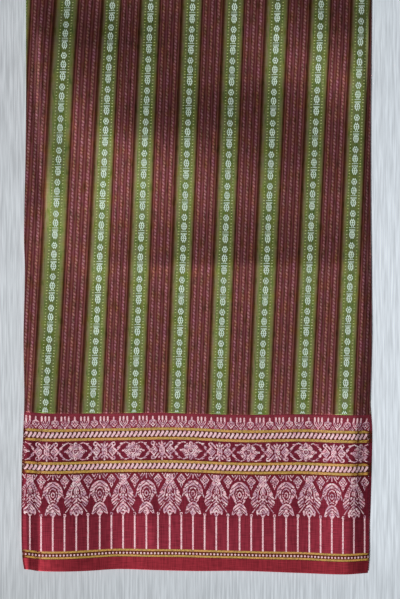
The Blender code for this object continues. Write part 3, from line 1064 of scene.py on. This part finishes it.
# Across one repeat of the body's stripes, from the right edge of a green stripe: thin dark red
# lines and three twisted cords on brown, then the green with its olive edges.
STRIPE_COLOURS = [
    (0.000, "#6d4c35"), (0.024, "#602a28"), (0.048, "#b3726a"), (0.070, "#76353c"),
    (0.090, "#9b5b5b"), (0.124, "#9b5b5b"), (0.145, "#79363d"), (0.190, "#aa6b6a"),
    (0.214, "#753339"), (0.236, "#9b5b5b"), (0.274, "#9b5b5b"), (0.298, "#753339"),
    (0.334, "#aa6b6a"), (0.358, "#753339"), (0.394, "#9b5b5b"), (0.432, "#9b5b5b"),
    (0.455, "#763439"), (0.482, "#ad7067"), (0.506, "#5e2c26"), (0.545, "#6d4a33"),
    (0.560, "#8f7654"), (0.585, "#ab9f75"), (0.640, "#a5b46f"), (0.730, "#90a565"),
    (0.835, "#90a565"), (0.930, "#a5b46d"), (0.975, "#a59b67"), (0.996, "#795d3e"),
]
# Where the three cords lie in that repeat.
CORD_PLACES = [
    (0.000, 0.0), (0.078, 0.0), (0.098, 1.0), (0.116, 1.0), (0.138, 0.0), (0.224, 0.0), (0.246, 1.0),
    (0.264, 1.0), (0.288, 0.0), (0.380, 0.0), (0.402, 1.0), (0.424, 1.0), (0.448, 0.0),
]
# Half a turn of the cords in millimetres, the slant of their dashes, and how far they sway.
CORD_TWIST = 4.4
CORD_LEAN = 8.5
CORD_SWAY = 0.016
CORDS_A_REPEAT = 6.4
PINK_PLY = "#e8a8b0"
APRICOT_PLY = "#e29e7c"
WEFT_SPACING = 1.7
# Tints over the stripes, each with its spots to the metre and their detail. The dye took unevenly
# along the warp, some threads a little redder or paler and others greener, and the cloth has faded
# in patches, yellower here and bluer there.
DYE_SPOTS = (420.0, 60.0, 1.0)
DYE_TINTS = [
    (0.34, "#c4d4bc"), (0.43, "#eef6e0"), (0.5, "#fffcfa"), (0.57, "#fff6ff"), (0.66, "#ffecff"),
]
FADE_SPOTS = (110.0, 65.0, 1.0)
FADE_TINTS = [(0.36, "#fffadc"), (0.47, "#fffcf6"), (0.56, "#fffcff"), (0.64, "#faf8ff")]


def cord_dashes(add, across, along, repeat_place):
    """The cords' mask, and the brightness and the colour of their two plies: short slanting dashes, one
    for each half turn, that sway from side to side. The pale dashes are the plies' own colour and also
    a painted highlight on each turn."""
    turns = add("Math", [along, 1 / (CORD_TWIST * MM)], operation="MULTIPLY")
    half_turns = add("Math", [turns, 1.0], operation="PINGPONG")
    swayed = add("Math", [half_turns, CORD_SWAY, repeat_place], operation="MULTIPLY_ADD")
    centred = add("Math", [swayed, CORD_SWAY / 2], operation="SUBTRACT")
    cords = add("ValToRGB", [centred], stops=CORD_PLACES)
    lean = add("Math", [repeat_place, CORD_LEAN, turns], operation="MULTIPLY_ADD")
    in_turn = add("Math", [lean, 0.5], operation="PINGPONG")
    dash = add("MapRange", [in_turn, 0.08, 0.32, 0.0, 1.0])
    # Hand-spun silk is uneven, so the cords' colour and brightness wander along them.
    cord_number = add("Math", [across, CORDS_A_REPEAT], operation="MULTIPLY")
    whole_cord = add("Math", [cord_number], operation="ROUND")
    cord_place = add("CombineXYZ", [whole_cord, along])
    wander = add("TexNoise", {"Vector": cord_place, "Scale": 14.0, "Detail": 3.0})
    tone = add("MapRange", [wander, 0.48, 0.72])
    # The plies' pale colour, laid on in dashes, is partly a painted highlight on each turn of the cord.
    ply = add("Mix", {"Factor": tone, 6: PINK_PLY, 7: APRICOT_PLY}, data_type="RGBA")
    spun = add("TexNoise", {"Vector": cord_place, "Scale": 90.0, "Detail": 3.0})
    thick = add("MapRange", [spun, 0.3, 0.62, 0.35, 1.0])
    shown = add("Math", [dash, thick], operation="MULTIPLY")
    dashes = add("Math", [shown, cords], operation="MULTIPLY")
    return cords, dashes, ply


def uneven_picks(add, across, along, object_place):
    """Silk picks across the cloth, only every fourth or fifth one drawn, so that they show. Gives
    their wave, and the tone that their slubs and broad patches lend the cloth."""
    picks = add("Math", [along, 1 / (WEFT_SPACING * MM)], operation="MULTIPLY")
    pick_wave = add("Math", [picks, 0.5], operation="PINGPONG")
    slub_place = add("CombineXYZ", [across, picks])
    slubs = add("TexNoise", {"Vector": slub_place, "Scale": 2.2, "Detail": 2.0})
    patch_look = {"Vector": object_place, "Scale": 9.0, "Detail": 7.0, "Roughness": 0.75}
    patches = add("TexNoise", patch_look)
    slubbed = add("Math", [pick_wave, 0.22, slubs], operation="MULTIPLY_ADD")
    slub_tone = add("MapRange", [slubbed, 0.35, 0.85, 0.92, 1.22])
    patch_tone = add("MapRange", [patches, 0.35, 0.65, 0.88, 1.12])
    return pick_wave, add("Math", [slub_tone, patch_tone], operation="MULTIPLY")


def stripe_cloth():
    """Handwoven silk: warp stripes of maroon with raised twisted cords, and of leaf green. Plain weave
    scatters the light softly, and the cords catch it in short slanting dashes, which are painted into
    the colour as a highlight on each turn."""
    material, shader, add = new_material("handwoven striped silk", *CLOTH_GLOSS)
    place = add("UVMap", uv_map="Pattern")
    parts = add("SeparateXYZ", [place])
    across, along = parts.outputs["X"], parts.outputs["Y"]
    object_place = add("TexCoord").outputs["Object"]
    shifted = add("Math", [across, -GREEN_SHARE / 2], operation="ADD")
    repeat_place = add("Math", [shifted, 1.0], operation="FLOORED_MODULO")
    stripes = add("ValToRGB", [repeat_place], STRIPE_COLOURS)
    cords, dashes, ply = cord_dashes(add, across, along, repeat_place)
    pick_wave, tone = uneven_picks(add, across, along, object_place)
    corded = add("Mix", {"Factor": dashes, 6: stripes, 7: ply}, data_type="RGBA")
    colour = add("VectorMath", {0: corded, "Scale": tone}, operation="SCALE")
    for spots, detail, tints in ((DYE_SPOTS, 3.0, DYE_TINTS), (FADE_SPOTS, 2.0, FADE_TINTS)):
        noise = drawn_out_noise(add, object_place, spots, detail)
        tint = add("ValToRGB", [noise], tints)
        colour = add("VectorMath", [colour, tint], operation="MULTIPLY")
    relief = add("Math", [dashes, 0.6, cords], operation="MULTIPLY_ADD")
    ribs = add("Math", [pick_wave, 0.5, relief], operation="MULTIPLY_ADD")
    finish_cloth(add, shader, colour, ribs, strength=0.6, depth=0.05)
    return material


# The border's ground colours up the border, as shares of its height: dark silk under the ropes and
# between the gold lines, red elsewhere, and a darker red from 0.345 to 0.618 between the trees and urns
# that is partly painted shade of their floats.
GROUND_COLOURS = [
    # From 0.345 to 0.618 the red is darker, partly painted shade of the trees' and urns' floats.
    (0.000, "#af3845"), (0.085, "#733324"), (0.136, "#ad3b4d"), (0.345, "#9f3546"),
    (0.365, "#9a3245"), (0.618, "#843228"), (0.648, "#703a30"), (0.684, "#843228"),
    (0.705, "#993347"), (0.832, "#843228"), (0.855, "#703a30"), (0.890, "#843228"),
    (0.910, "#b4475c"), (0.965, "#b84a5a"),
]


def border_ground():
    """Plain-woven madder red silk, the ground of the brocade, with darker bands under its ropes
    and gold lines. It is smooth, so it has a low soft shine."""
    material, shader, add = new_material("madder red plain silk", *CLOTH_GLOSS)
    place = add("UVMap", uv_map="Pattern")
    up = add("SeparateXYZ", [place]).outputs["Y"]
    share = add("Math", [up, 1 / (BORDER_HEIGHT * MM)], operation="MULTIPLY")
    bands = add("ValToRGB", [share], GROUND_COLOURS)
    bands.color_ramp.interpolation = "CONSTANT"
    picks = drawn_out_noise(add, place, BORDER_PICKS, detail=2.0)
    ends = drawn_out_noise(add, place, BORDER_ENDS, detail=2.0)
    weave = add("Math", [picks, ends], operation="ADD")
    tone = add("MapRange", [weave, 0.7, 1.3, 0.62, 1.36])
    colour = add("VectorMath", {0: bands, "Scale": tone}, operation="SCALE")
    finish_cloth(add, shader, colour, weave, strength=0.4, depth=0.04)
    return material


# The size of the dark flecks where a float is tied down or its twist turns away from the light.
FLECK_SIZE = 2.1
# The float silks: their light and dark threads, their tinge and flecks, the size of the tinged
# patches in millimetres, their roughness and their lustre.
SILVER = ("#ffe6e8", "#f6bcc6", "#fcd2d8", "#dc9cae", 9.0, 0.48, 0.15)
ROSE_SILVER = ("#fff2f4", "#f0a0b4", "#cca0b4", "#7c2a44", 6.0, 0.48, 0.15)
GOLD = ("#dab254", "#b28e38", "#d6a250", "#a88440", 22.0, 0.42, 0.1)
PALE_GREEN = ("#e8fae8", "#c2dacc", "#d4e4dc", "#a8c4ae", 9.0, 0.42, 0.1)
SOFT_YELLOW = ("#d8e294", "#b4c06e", "#ccd6a0", "#b0ba7c", 15.0, 0.42, 0.1)


def float_silk(name, light, dark, tinge, fleck, patch, roughness, lustre):
    """Untwisted silk floats: glossy, a little different from thread to thread, and tinged in
    patches where another bobbin was woven in."""
    material, shader, add = new_material(name, roughness, sheen=0.05, lustre=lustre)
    place = add("TexCoord").outputs["Object"]
    uneven = drawn_out_noise(add, place, FLOAT_THREADS, detail=2.0)
    tone = add("MapRange", [uneven, 0.35, 0.65])
    thread = add("Mix", {"Factor": tone, 6: dark, 7: light}, data_type="RGBA")
    patches = add("TexNoise", {"Vector": place, "Scale": 1 / (patch * MM), "Detail": 1.0})
    tinged = add("MapRange", [patches, 0.48, 0.6])
    colour = add("Mix", {"Factor": tinged, 6: thread, 7: tinge}, data_type="RGBA")
    flecks = add("TexNoise", {"Vector": place, "Scale": 1 / (FLECK_SIZE * MM), "Detail": 1.0})
    plain = add("MapRange", [flecks, 0.34, 0.46])
    flecked = add("Mix", {"Factor": plain, 6: fleck, 7: colour}, data_type="RGBA")
    finish_cloth(add, shader, flecked, uneven, strength=0.25, depth=0.1)
    return material


def waistband_cotton():
    """Plain maroon cotton for the waistband: matt, with a fine even weave."""
    material, shader, add = new_material("plain maroon cotton", roughness=0.85, sheen=0.1, specular=0.2)
    place = add("UVMap", uv_map="Pattern")
    weave = drawn_out_noise(add, place, COTTON_THREADS, detail=3.0)
    tone = add("MapRange", [weave, 0.3, 0.7])
    colour = add("Mix", {"Factor": tone, 6: "#3a1b20", 7: "#4e262b"}, data_type="RGBA")
    finish_cloth(add, shader, colour, weave, strength=0.5, depth=0.2)
    return material


# Where the floor's tone changes across and along the skirt, in metres, and its brightness along it:
# painted shade, greyer at its left and its ends, and painted light, brighter at its right.
FLOOR_ACROSS = (-0.25, 0.25)
FLOOR_ALONG = (-0.53, 0.2)
FLOOR_PAINTED_SHADE = [(0.0, 0.78), (0.03, 0.8), (0.1, 0.9), (0.2, 0.93), (0.56, 1.0), (0.92, 0.91)]


def pale_floor():
    """A plain pale board, matt and faintly streaked along its length, with painted shade that makes it
    greyer at its left and its ends and painted light that makes it brighter at its right."""
    material, shader, add = new_material("pale matt board", roughness=0.8, sheen=0.0, specular=0.2)
    place = add("TexCoord").outputs["Object"]
    grain = drawn_out_noise(add, place, FLOOR_GRAIN, detail=3.0)
    streaks = add("MapRange", [grain, 0.35, 0.65, 0.85, 1.16])
    parts = add("SeparateXYZ", [place])
    # Painted shade across the floor: greyer to the left, brighter and bluer to the right.
    painted_shade_across = add("MapRange", [parts.outputs["X"], *FLOOR_ACROSS])
    colour = add("Mix", {"Factor": painted_shade_across, 6: "#d6dce2", 7: "#eaf3fc"}, data_type="RGBA")
    # Painted shade along the floor: darker towards its ends.
    along = add("MapRange", [parts.outputs["Y"], *FLOOR_ALONG])
    painted_shade_along = add("ValToRGB", [along], FLOOR_PAINTED_SHADE)
    tone = add("Math", [streaks, painted_shade_along], operation="MULTIPLY")
    toned = add("VectorMath", {0: colour, "Scale": tone}, operation="SCALE")
    connect(toned, shader.inputs["Base Color"])
    return material


# ---- floor, light and camera

FLOOR_SIZE = 5.0
# The lamp's place, what it points at, its size, all in metres, and its power in watts.
LAMP_PLACE = (-2.8, -5.7, 7.22)
LAMP_AIM = (0, -0.15, 0)
LAMP_SIZE = 1.9
LAMP_POWER = 930.0
FILL_STRENGTH = 0.07
# The camera looks straight down on this point and sees this much of the skirt's length.
CAMERA_CENTRE = (4.1, -149.5)
SEEN_LENGTH = 764.0
CAMERA_LENS = 120.0
SENSOR = 36.0
CLOTH_TOP = 6.0


def floor():
    bm = bmesh.new()
    bmesh.ops.create_grid(bm, x_segments=1, y_segments=1, size=FLOOR_SIZE / 2)
    board = finished("floor", bm)
    board.data.materials.append(pale_floor())


def lights():
    """One large lamp far off to the lower left, and a faint even fill."""
    lamp = bpy.data.lights.new("window", "AREA")
    lamp.shape = "SQUARE"
    lamp.size = LAMP_SIZE
    lamp.energy = LAMP_POWER
    lamp.color = linear("#fdfcfa")[:3]
    light = in_scene("window", lamp)
    light.location = LAMP_PLACE
    light.rotation_euler = (Vector(LAMP_AIM) - Vector(LAMP_PLACE)).to_track_quat("-Z", "Y").to_euler()
    world = bpy.data.worlds.new("studio")
    world.use_nodes = True
    background = world.node_tree.nodes["Background"]
    background.inputs["Color"].default_value = linear("#e6edf6")
    background.inputs["Strength"].default_value = FILL_STRENGTH
    bpy.context.scene.world = world


def camera():
    lens = bpy.data.cameras.new("camera")
    lens.lens = CAMERA_LENS
    lens.sensor_width = SENSOR
    eye = in_scene("camera", lens)
    distance = SEEN_LENGTH / 2 / (SENSOR / 2 / CAMERA_LENS)
    eye.location = (CAMERA_CENTRE[0] * MM, CAMERA_CENTRE[1] * MM, (distance + CLOTH_TOP) * MM)
    bpy.context.scene.camera = eye
    bpy.context.scene.view_settings.view_transform = "Standard"


# ---- making it

# How far apart each tube's rows of cells lie.
BORDER_CELL = 4.2
BODY_CELL = 4.9
WAISTBAND_CELL = 6.0
FRONT_STRIPES = range(0, 9)
UNDERSIDE_STRIPES = range(-8, 0)


def dressed(piece, material, slot, *nodes):
    """Gives a piece its finish and its place on the skirt, and hides the nodes that it stands for."""
    piece.data.materials.append(material)
    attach(piece, "root")
    if nodes:
        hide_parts(*nodes)
    return piece


def border_floats():
    silver = float_silk("bright silver pink silk floats", *SILVER)
    rose_silver = float_silk("rose silver silk floats", *ROSE_SILVER)
    gold = float_silk("gold silk floats", *GOLD)
    return [
        dressed(silver_lines(), silver, "brocade_border_cloth"),
        dressed(rose_motifs(), rose_silver, "brocade_border_cloth"),
        dressed(gold_border(), gold, "brocade_border_cloth"),
    ]


def body_floats():
    pale = float_silk("pale water green silk floats", *PALE_GREEN)
    yellow = float_silk("soft yellow silk floats", *SOFT_YELLOW)
    return [
        dressed(flower_chains("front_flowers", FRONT_STRIPES), pale, "striped_body_cloth"),
        dressed(flower_chains("underside_flowers", UNDERSIDE_STRIPES), pale, "striped_body_cloth"),
        dressed(side_dots("front_dots", FRONT_STRIPES), yellow, "striped_body_cloth"),
        dressed(side_dots("underside_dots", UNDERSIDE_STRIPES), yellow, "striped_body_cloth"),
    ]


def main():
    slit = SEAM_SLIT / 2
    border = tube_sheet("border_cloth", 0.0, BORDER_HEIGHT - slit, BORDER_CELL, plain_pattern)
    body = tube_sheet("body_cloth", BORDER_HEIGHT + slit, WAIST_SEAM - slit, BODY_CELL, stripe_pattern)
    waistband = tube_sheet(
        "waistband_cloth", WAIST_SEAM + slit, SKIRT_LENGTH, WAISTBAND_CELL, plain_pattern)
    dressed(border, border_ground(), "brocade_border_cloth", "border", "hidden_layers")
    dressed(body, stripe_cloth(), "striped_body_cloth", "body", "hidden_layers")
    dressed(waistband, waistband_cotton(), "waistband_cloth", "waistband", "hidden_layers")

    border_floats()
    body_floats()

    floor()
    lights()
    camera()


main()
